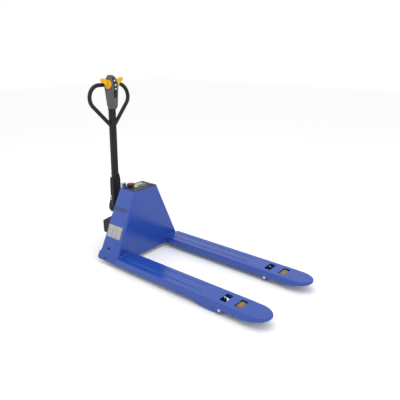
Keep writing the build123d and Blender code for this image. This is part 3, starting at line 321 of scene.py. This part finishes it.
# ---------------------------------------------------------------------------
# Wheels: the drive tyre is pressed-on black rubber with fine mould rings; the
# load rollers are cast ochre polyurethane, swirled where it was poured.
# ---------------------------------------------------------------------------
tyre_rubber, tree, shader = finish_of("moulded_tyre_rubber")
where = put(tree, "ShaderNodeTexCoord").outputs["Object"]
mould = put(tree, "ShaderNodeTexWave", {"bands_direction": "Y"}, Vector=where, Scale=60.0, Distortion=0.0)
scrub = put(tree, "ShaderNodeTexNoise", Vector=where, Scale=90.0, Detail=6.0)
tone = put(tree, "ShaderNodeMix", {"data_type": "RGBA"}, Factor=scrub.outputs["Fac"])
tone.inputs["A"].default_value = srgb("#1A1A1A")
tone.inputs["B"].default_value = srgb("#2E2C2A")
skin = put(tree, "ShaderNodeBump", Height=mould.outputs["Fac"], Strength=0.25, Distance=0.0006)
tree.links.new(tone.outputs["Result"], shader.inputs["Base Color"])
tree.links.new(skin.outputs["Normal"], shader.inputs["Normal"])
shader.inputs["Roughness"].default_value = 0.7
coat(tyre_rubber, "drive_tyre")

roller_tread, tree, shader = finish_of("cast_polyurethane_ochre")
where = put(tree, "ShaderNodeTexCoord").outputs["Object"]
swirl = put(tree, "ShaderNodeTexNoise", Vector=where, Scale=45.0, Detail=4.0, Distortion=1.2)
tone = put(tree, "ShaderNodeMix", {"data_type": "RGBA"}, Factor=swirl.outputs["Fac"])
tone.inputs["A"].default_value = srgb("#775B0E")
tone.inputs["B"].default_value = srgb("#8E6F14")
skin = put(tree, "ShaderNodeBump", Height=swirl.outputs["Fac"], Strength=0.1, Distance=0.0005)
tree.links.new(tone.outputs["Result"], shader.inputs["Base Color"])
tree.links.new(skin.outputs["Normal"], shader.inputs["Normal"])
shader.inputs["Roughness"].default_value = 0.35
coat(roller_tread, "load_roller_left", "load_roller_right")

# ---------------------------------------------------------------------------
# Moulded plastics: the head's grey shells, the black strip and switches, and
# the console panel, spark-eroded to a leather grain. It is drawn about a millimetre
# wide, coarser than the real one, so that it shows.
# ---------------------------------------------------------------------------
def moulded(name, low, high, rough, grain_scale, grain_height):
    """Injection-moulded plastic: even colour with faint flow, eroded grain of a given size."""
    material, tree, shader = finish_of(name)
    where = put(tree, "ShaderNodeTexCoord").outputs["Object"]
    flow = put(tree, "ShaderNodeTexNoise", Vector=where, Scale=30.0, Detail=2.0)
    grain = put(tree, "ShaderNodeTexVoronoi", Vector=where, Scale=grain_scale)
    tone = put(tree, "ShaderNodeMix", {"data_type": "RGBA"}, Factor=flow.outputs["Fac"])
    tone.inputs["A"].default_value = srgb(low)
    tone.inputs["B"].default_value = srgb(high)
    skin = put(tree, "ShaderNodeBump", Height=grain.outputs["Distance"], Strength=0.25, Distance=grain_height)
    tree.links.new(tone.outputs["Result"], shader.inputs["Base Color"])
    tree.links.new(skin.outputs["Normal"], shader.inputs["Normal"])
    shader.inputs["Roughness"].default_value = rough
    shader.inputs["Specular IOR Level"].default_value = 0.3
    return material


head_grey = moulded("grained_abs_grey", "#4C4C4D", "#565657", 0.5, 1400.0, 0.0002)
coat(head_grey, "head_front_cover", "head_rear_cover")
switch_black = moulded("grained_abs_black", "#0E0E0F", "#161617", 0.42, 1200.0, 0.0002)
coat(switch_black, "control_strip", "speed_button", "key_switch", "horn", "batteries", "battery_gauge")
console_grey = moulded("grained_abs_console", "#222429", "#2A2C31", 0.5, 900.0, 0.0003)
coat(console_grey, "console_panel")
tank_white = moulded("blow_moulded_tank", "#C9C5B4", "#D8D4C4", 0.45, 300.0, 0.0003)
coat(tank_white, "oil_tank")
cap_white = moulded("gloss_abs_white", "#DADCE0", "#E6E8EC", 0.25, 2000.0, 0.0001)
coat(cap_white, "raise_button", "lower_button", "horn_button")
pale_grey = moulded("gloss_abs_pale_grey", "#8F96A6", "#9AA1B2", 0.35, 1500.0, 0.0001)
coat(pale_grey, "charge_inlet_box")
bezel_cream = moulded("gloss_abs_cream", "#A3A28F", "#AEAD9A", 0.35, 1500.0, 0.0001)
coat(bezel_cream, "gauge_bezel")
stop_navy = moulded("gloss_abs_navy", "#15163A", "#1B1C46", 0.3, 1800.0, 0.0001)
coat(stop_navy, "emergency_stop_base")
inlet_blue = moulded("gloss_abs_blue", "#233C93", "#2A459C", 0.25, 1500.0, 0.0001)
coat(inlet_blue, "charge_inlet_cap")
stop_red = moulded("gloss_abs_dark_red", "#4F0F1B", "#5E1421", 0.25, 1800.0, 0.0001)
coat(stop_red, "emergency_stop_button", "belly_button")
paddle_yellow = moulded("gloss_nylon_yellow", "#D8A10A", "#E2AC12", 0.32, 1500.0, 0.0001)
coat(paddle_yellow, "throttle_paddles")
loop_black = moulded("soft_touch_sleeve_black", "#0E0E0F", "#151516", 0.36, 1600.0, 0.0002)
coat(loop_black, "loop_handle")

# ---------------------------------------------------------------------------
# Data plate: a thin printed aluminium sheet stuck to the right side of the
# hood, with blank ruled boxes under a pale green band.
# ---------------------------------------------------------------------------
plate_low, plate_high = (Vector(corner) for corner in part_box("data_plate"))
plate_border = 0.004
header_height = 0.017
rule_height, rule_length = 0.0135, 0.047       # one blank box of the ruled form

label_print, tree, shader = finish_of("printed_aluminium_label")
where = put(tree, "ShaderNodeTexCoord").outputs["Object"]
smudge = put(tree, "ShaderNodeTexNoise", Vector=where, Scale=120.0, Detail=3.0)
axes = put(tree, "ShaderNodeSeparateXYZ", Vector=where)
across = put(tree, "ShaderNodeMath", {"operation": "SUBTRACT"},
             _0=axes.outputs["X"], _1=plate_low.x + plate_border)
upward = put(tree, "ShaderNodeMath", {"operation": "SUBTRACT"},
             _0=axes.outputs["Z"], _1=plate_low.z + plate_border)
flat = put(tree, "ShaderNodeCombineXYZ", X=across.outputs["Value"], Y=upward.outputs["Value"])
rules = put(tree, "ShaderNodeTexBrick", {"offset": 0.0}, Vector=flat.outputs["Vector"], Scale=1.0,
            Mortar_Size=0.0011, Brick_Width=rule_length, Row_Height=rule_height,
            Color1=srgb("#A9A8A8"), Color2=srgb("#B4B3B2"), Mortar=srgb("#6A6C70"))
header = put(tree, "ShaderNodeMath", {"operation": "GREATER_THAN"},
             _0=axes.outputs["Z"], _1=plate_high.z - header_height)
green = put(tree, "ShaderNodeMix", {"data_type": "RGBA"}, Factor=header.outputs["Value"])
tree.links.new(rules.outputs["Color"], green.inputs["A"])
green.inputs["B"].default_value = srgb("#A3AE90")
grime = put(tree, "ShaderNodeMix", {"data_type": "RGBA", "blend_type": "MULTIPLY"}, Factor=0.2)
tree.links.new(green.outputs["Result"], grime.inputs["A"])
tree.links.new(smudge.outputs["Fac"], grime.inputs["B"])
tree.links.new(grime.outputs["Result"], shader.inputs["Base Color"])
shader.inputs["Roughness"].default_value = 0.45
coat(label_print, "data_plate")

# ---------------------------------------------------------------------------
# Hole plugs: soft black caps pushed into the two adjuster holes low on the
# hood's sides. The domed head stands 2 mm proud of the slanted plate.
# ---------------------------------------------------------------------------
def turned(name, profile, centre, axis, count=48):
    """Turned piece: each profile row is a circle, (radius, distance along the axis from the centre)."""
    radius, along = np.array(profile, dtype=float).T[:, :, None]
    angle = np.linspace(0, 2 * pi, count, endpoint=False)
    axis = Vector(axis).normalized()
    first = axis.orthogonal().normalized()
    second = axis.cross(first)
    xyz = (np.array(centre) + along[..., None] * np.array(axis)
           + (radius * np.cos(angle))[..., None] * np.array(first)
           + (radius * np.sin(angle))[..., None] * np.array(second))
    return grid_mesh(name, xyz, wrap_v=True)


def hood_side(x_from_heel, z, side):
    """A place on the outside of the hood's slanted side, and the direction out of it."""
    place = Vector((heel + x_from_heel, side * (hood_high.y - hood_slope * (z - hood_low.z)), z))
    return place, Vector((0.0, side, hood_slope)).normalized()


plug_radius, plug_rise = 0.0095, 0.002
dome = [(plug_radius * sin(t), plug_rise * (0.25 + 0.75 * cos(t))) for t in np.linspace(0, pi / 2, 7)]
plug_profile = dome + [(plug_radius, 0.0), (0.0068, 0.0), (0.0066, -0.004), (0.0, -0.004)]
for side, side_name in ((1, "left"), (-1, "right")):
    place, outward = hood_side(-0.139, 0.051, side)
    plug = turned(f"hood_plug_{side_name}", plug_profile, place, outward)
    closed(plug, switch_black, "chassis")

# ---------------------------------------------------------------------------
# Weld beads: the hood stands on the fork tops and is welded along the front
# edge and down the inner sides, then coated over. Ripples are 4 mm apart.
# ---------------------------------------------------------------------------
def weld_bead(name, start, end, side_a, side_b, size=0.0045, ripple=0.004):
    """A quarter-round fillet carried from start to end; its radius swells by a sixth at every ripple."""
    start, end, side_a, side_b = (np.array(v, dtype=float) for v in (start, end, side_a, side_b))
    length = np.linalg.norm(end - start)
    step = np.linspace(0, 1, int(length / ripple * 6))
    swell = 1 + 0.16 * np.abs(np.sin(pi * step * length / ripple))
    taper = np.clip(np.minimum(step, 1 - step) * length / size, 0, 1) ** 0.5
    arc = np.linspace(0, pi / 2, 7)
    round_part = np.cos(arc)[:, None] * side_a + np.sin(arc)[:, None] * side_b
    section = np.vstack([-0.12 * (side_a + side_b)[None, :], round_part])
    xyz = start + step[:, None, None] * (end - start) + (size * swell * taper)[:, None, None] * section
    return grid_mesh(name, xyz, wrap_v=True)


fork_top = 0.085
fork_inner = Vector(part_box("fork_left")[0]).y
for side, side_name in ((1, "left"), (-1, "right")):
    reach_y = hood_high.y - hood_slope * (fork_top - hood_low.z) - 0.010
    front = weld_bead(f"front_weld_{side_name}", (hood_high.x, side * (fork_inner + 0.004), fork_top),
                      (hood_high.x, side * reach_y, fork_top), (1, 0, 0), (0, 0, 1))
    closed(front, blue_coat, "chassis", crease=radians(80))
    inner = weld_bead(f"inner_weld_{side_name}", (hood_high.x, side * fork_inner, hood_low.z + 0.003),
                      (hood_high.x, side * fork_inner, fork_top - 0.004), (1, 0, 0), (0, -side, 0))
    closed(inner, blue_coat, "chassis", crease=radians(80))

# ---------------------------------------------------------------------------
# Socket bolts: zinc-plated M8 hexagon heads on washers, two on each cheek of
# the tiller socket, which clamp the tube's foot.
# ---------------------------------------------------------------------------
def hex_bolt(name, seat, axis, flats, height):
    """Washer, then a head of radius flats / 2 over the cosine of the angle folded to 30 degrees."""
    angle = np.linspace(0, 2 * pi, 72, endpoint=False)
    fold = np.abs((angle + pi / 6) % (pi / 3) - pi / 6)
    corner = flats / 2 / np.cos(fold)
    circle = np.ones_like(angle)
    rows = (
        (0.0 * circle, -0.001), (flats * 0.62 * circle, -0.001), (flats * 0.66 * circle, 0.0008),
        (flats * 0.62 * circle, 0.0014), (corner, 0.0014), (corner, height - 0.0012),
        (np.minimum(corner, flats * 0.52), height - 0.0004), (flats * 0.46 * circle, height),
        (0.0 * circle, height),
    )
    axis = Vector(axis).normalized()
    first = axis.orthogonal().normalized()
    second = axis.cross(first)
    ring = np.cos(angle)[:, None] * np.array(first) + np.sin(angle)[:, None] * np.array(second)
    seat, axis = np.array(seat), np.array(axis)
    xyz = np.stack([seat + radius[:, None] * ring + along * axis for radius, along in rows])
    return grid_mesh(name, xyz, wrap_v=True)


tiller_lean = radians(2.1)
tiller_foot = Vector((heel - 0.369, 0.0, 0.315))
tiller_forward = Vector((cos(tiller_lean), 0.0, -sin(tiller_lean)))
tiller_up = Vector((sin(tiller_lean), 0.0, cos(tiller_lean)))


def on_tiller(u, s, v):
    """A place from its distances forward, up along the tube, and to the left."""
    return tiller_foot + tiller_forward * u + tiller_up * s + Vector((0.0, v, 0.0))


socket_half = Vector(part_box("tiller_socket")[1]).y
bolt_flats, bolt_height = 0.013, 0.0065
for side, side_name in ((1, "left"), (-1, "right")):
    for u, s, level_name in ((-0.012, 0.076, "low"), (-0.009, 0.101, "high")):
        seat = on_tiller(u, s, side * socket_half)
        bolt = hex_bolt(f"socket_bolt_{level_name}_{side_name}", seat, (0, side, 0), bolt_flats, bolt_height)
        closed(bolt, turned_steel, "tiller", crease=radians(25))

# ---------------------------------------------------------------------------
# Tube collars: rubber rings that close the gaps where the oblong tube leaves
# its socket and enters the head. Each is a moulded loop with rounded edges.
# ---------------------------------------------------------------------------
def tube_collar(name, s, height, wall):
    """Ring round the tube: a half-ellipse section carried round a rounded rectangle, power 6 superellipse."""
    turn = np.linspace(0, 2 * pi, 96, endpoint=False)
    spread = (np.abs(np.cos(turn)) ** 6 + np.abs(np.sin(turn)) ** 6) ** (-1 / 6)
    edge = np.linspace(0, pi, 9)
    out = wall * np.sin(edge) ** 0.6
    rise = -height / 2 * np.cos(edge)
    half_u = 0.0175 - 0.0005 + np.append(out, 0.0)
    half_v = 0.025 - 0.0005 + np.append(out, 0.0)
    rise = np.append(rise, 0.0)
    u = half_u[None, :] * (spread * np.cos(turn))[:, None]
    v = half_v[None, :] * (spread * np.sin(turn))[:, None]
    xyz = (np.array(tiller_foot) + u[..., None] * np.array(tiller_forward)
           + (s + rise)[None, :, None] * np.array(tiller_up) + v[..., None] * np.array((0.0, 1.0, 0.0)))
    return grid_mesh(name, xyz, wrap_u=True, wrap_v=True)


def tiller_height(z):
    """Distance up the tube of a height above the floor."""
    return (z - tiller_foot.z) / cos(tiller_lean)


head_bottom = tiller_height(Vector(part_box("head_rear_cover")[0]).z)
socket_top = tiller_height(Vector(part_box("tiller_socket")[1]).z)
for name, s in (("head_collar", head_bottom - 0.003), ("socket_collar", socket_top + 0.003)):
    closed(tube_collar(name, s, 0.014, 0.003), loop_black, "tiller", crease=radians(60))

# ---------------------------------------------------------------------------
# Paddle discs: each thumb paddle turns on a boss with a raised ring and a
# snap-in cap, moulded in the same yellow nylon.
# ---------------------------------------------------------------------------
paddle_axis_u, paddle_axis_s, boss_seat = 0.013, 0.984, 0.044
outer_ring = [(0.0, -0.0005), (0.0235, -0.0005), (0.0232, 0.0009),
              (0.0225, 0.0012), (0.0200, 0.0012), (0.0193, 0.0008)]
snap_cap = [(0.0190, 0.0002), (0.0105, 0.0002), (0.0102, 0.0008),
            (0.0094, 0.0014), (0.0050, 0.0018), (0.0, 0.0019)]
for side, side_name in ((1, "left"), (-1, "right")):
    seat = on_tiller(paddle_axis_u, paddle_axis_s, side * boss_seat)
    boss = turned(f"paddle_boss_{side_name}", outer_ring + snap_cap, seat, (0, side, 0), count=64)
    closed(boss, paddle_yellow, "throttle", crease=radians(50))

# ---------------------------------------------------------------------------
# Battery gauge: a smoked lens over the slot, and eight green segments of a
# light bar in a row along it.
# ---------------------------------------------------------------------------
def pillow(name, centre, half_x, half_y, height):
    """Domed rounded rectangle: power 6 superellipse outline, height falling as a fourth-power cap."""
    turn = np.linspace(0, 2 * pi, 48, endpoint=False)
    spread = (np.abs(np.cos(turn)) ** 6 + np.abs(np.sin(turn)) ** 6) ** (-1 / 6)
    share = np.array([0.0, 0.4, 0.75, 0.92, 1.0, 1.0, 0.0])
    rise = np.append(np.sqrt(1 - share[:5] ** 4), [-0.5, -0.5]) * height
    xyz = np.stack([centre[0] + half_x * share[:, None] * spread * np.cos(turn),
                    centre[1] + half_y * share[:, None] * spread * np.sin(turn),
                    centre[2] + rise[:, None] + 0 * turn], axis=-1)
    return grid_mesh(name, xyz, wrap_v=True)


gauge_low, gauge_high = (Vector(corner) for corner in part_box("battery_gauge"))
gauge_middle = (gauge_low + gauge_high) / 2
lens_black = moulded("smoked_acrylic_lens", "#07080A", "#0C0D10", 0.12, 2500.0, 0.00002)
lens_black.node_tree.nodes["Principled BSDF"].inputs["Specular IOR Level"].default_value = 0.04
segment_green = moulded("diffused_led_green", "#2F6E3A", "#367A42", 0.35, 2500.0, 0.00005)
lens = pillow("gauge_lens", (gauge_middle.x, gauge_middle.y, gauge_high.z), 0.0095, 0.034, 0.0006)
closed(lens, lens_black, "chassis", crease=radians(60))
segment_count, segment_pitch = 8, 0.0075
for index in range(segment_count):
    segment_y = gauge_middle.y + (index - (segment_count - 1) / 2) * segment_pitch
    place = (gauge_middle.x, segment_y, gauge_high.z + 0.0005)
    segment = pillow(f"gauge_segment_{index + 1}", place, 0.004, 0.0026, 0.0004)
    closed(segment, segment_green, "chassis", crease=radians(60))
